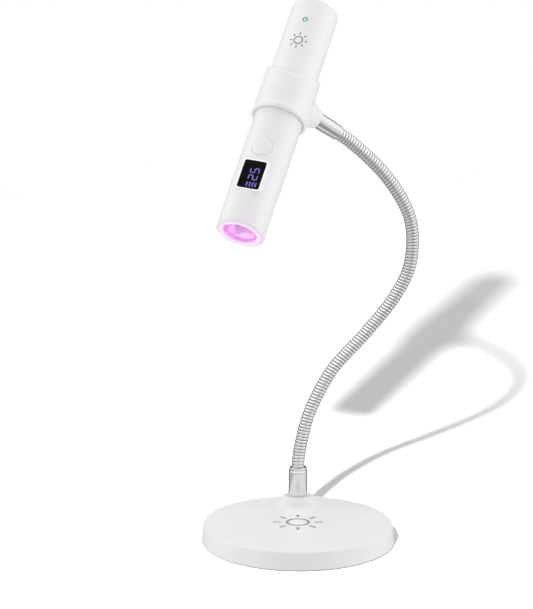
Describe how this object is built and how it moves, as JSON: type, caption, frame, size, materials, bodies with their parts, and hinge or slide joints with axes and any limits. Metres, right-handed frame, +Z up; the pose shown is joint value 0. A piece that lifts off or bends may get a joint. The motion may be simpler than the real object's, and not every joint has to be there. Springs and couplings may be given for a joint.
{
  "type": "uv curing lamp",
  "caption": "Cordless UV torch with a display and push button, held in a collar on a chrome gooseneck above a weighted round base.",
  "frame": {"origin": "centre of the foot pad's underside, on the surface the lamp stands on", "axes": "+Z up; -Y is the front, the side the torch's button and display face; the gooseneck is fixed at the base's rear, at +Y, and bows to +X"},
  "size_m": [0.1101, 0.1093, 0.2696],
  "materials": {
    "white_shell": "satin",
    "white_collar": "satin",
    "white_base": "satin",
    "inner_plastic": "satin",
    "chrome": "polished",
    "plated_steel": "satin",
    "raw_steel": "matte",
    "aluminium": "satin",
    "brass": "satin",
    "grip_rubber": "matte",
    "pad_foam": "matte",
    "cell_wrap": "satin",
    "board": "satin",
    "button_white": "satin",
    "window_black": "gloss",
    "display_black": "satin",
    "mirror_plating": "polished",
    "lens_glass": "gloss",
    "emitter": "gloss",
    "light_pipe": "gloss"
  },
  "bodies": {
    "base": {"base_shell": "white_base", "base_weight": "raw_steel", "base_plate": "inner_plastic", "foot_pad": "pad_foam", "base_screw_1": "plated_steel", "base_screw_2": "plated_steel", "base_screw_3": "plated_steel", "neck_washer": "plated_steel", "neck_nut": "plated_steel", "ferrule_lower": "chrome", "hose_0": "chrome"},
    "link_1": {"hose_1": "chrome"},
    "link_2": {"hose_2": "chrome"},
    "link_3": {"hose_3": "chrome"},
    "link_4": {"hose_4": "chrome"},
    "link_5": {"hose_5": "chrome"},
    "link_6": {"hose_6": "chrome"},
    "link_7": {"hose_7": "chrome"},
    "holder": {"hose_8": "chrome", "ferrule_upper": "chrome", "collar": "white_collar"},
    "liner": {"grip_liner": "grip_rubber"},
    "torch": {"barrel": "white_shell", "mouth_ring": "white_shell", "lens": "lens_glass", "reflector": "mirror_plating", "emitter": "emitter", "emitter_board": "aluminium", "heat_sink": "aluminium", "display_window": "window_black", "display_module": "display_black", "button_switch": "inner_plastic", "indicator_lens": "light_pipe", "control_board": "board", "driver_chip": "inner_plastic", "driver_choke": "inner_plastic", "cell": "cell_wrap", "front_contact": "brass", "contact_board": "board", "tail_spring": "plated_steel", "charge_board": "board", "charge_chip": "inner_plastic", "port_shell": "plated_steel", "port_tongue": "inner_plastic"},
    "button": {"push_button": "button_white"}
  },
  "joints": [
    {"name": "neck_bend_1", "type": "hinge", "parent": "base", "child": "link_1", "pos_m": [0.00159, 0.0334, 0.04257], "axis": [-0.0136, 0.9978, -0.0646], "range_deg": [-25, 25]},
    {"name": "neck_bend_2", "type": "hinge", "parent": "link_1", "child": "link_2", "pos_m": [0.00983, 0.0364, 0.06695], "axis": [-0.895, 0, 0.4461], "range_deg": [-25, 25]},
    {"name": "neck_bend_3", "type": "hinge", "parent": "link_2", "child": "link_3", "pos_m": [0.02446, 0.0406, 0.08789], "axis": [0.1207, -0.9849, 0.1242], "range_deg": [-25, 25]},
    {"name": "neck_bend_4", "type": "hinge", "parent": "link_3", "child": "link_4", "pos_m": [0.04187, 0.04433, 0.10682], "axis": [0.7675, 0, -0.6411], "range_deg": [-25, 25]},
    {"name": "neck_bend_5", "type": "hinge", "parent": "link_4", "child": "link_5", "pos_m": [0.05564, 0.04563, 0.12871], "axis": [0.0062, 0.9998, 0.0163], "range_deg": [-25, 25]},
    {"name": "neck_bend_6", "type": "hinge", "parent": "link_5", "child": "link_6", "pos_m": [0.05775, 0.04356, 0.15427], "axis": [-0.987, 0, -0.1606], "range_deg": [-25, 25]},
    {"name": "neck_bend_7", "type": "hinge", "parent": "link_6", "child": "link_7", "pos_m": [0.04686, 0.03884, 0.17715], "axis": [0.1123, -0.9816, -0.1542], "range_deg": [-25, 25]},
    {"name": "neck_bend_8", "type": "hinge", "parent": "link_7", "child": "holder", "pos_m": [0.02946, 0.03339, 0.19563], "axis": [0.6535, 0, 0.7569], "range_deg": [-25, 25]},
    {"name": "torch_spin", "type": "hinge", "parent": "holder", "child": "liner", "pos_m": [-0.00675, 0.0197, 0.2204], "axis": [-0.2727, -0.5821, -0.766], "continuous": true},
    {"name": "torch_slide", "type": "slide", "parent": "liner", "child": "torch", "axis": [-0.2727, -0.5821, -0.766], "range_m": [-0.017, 0.07]},
    {"name": "button_press", "type": "slide", "parent": "torch", "child": "button", "axis": [0.1296, 0.7667, -0.6287], "range_m": [0, 0.0005], "stiffness_N_per_m": 800}
  ]
}
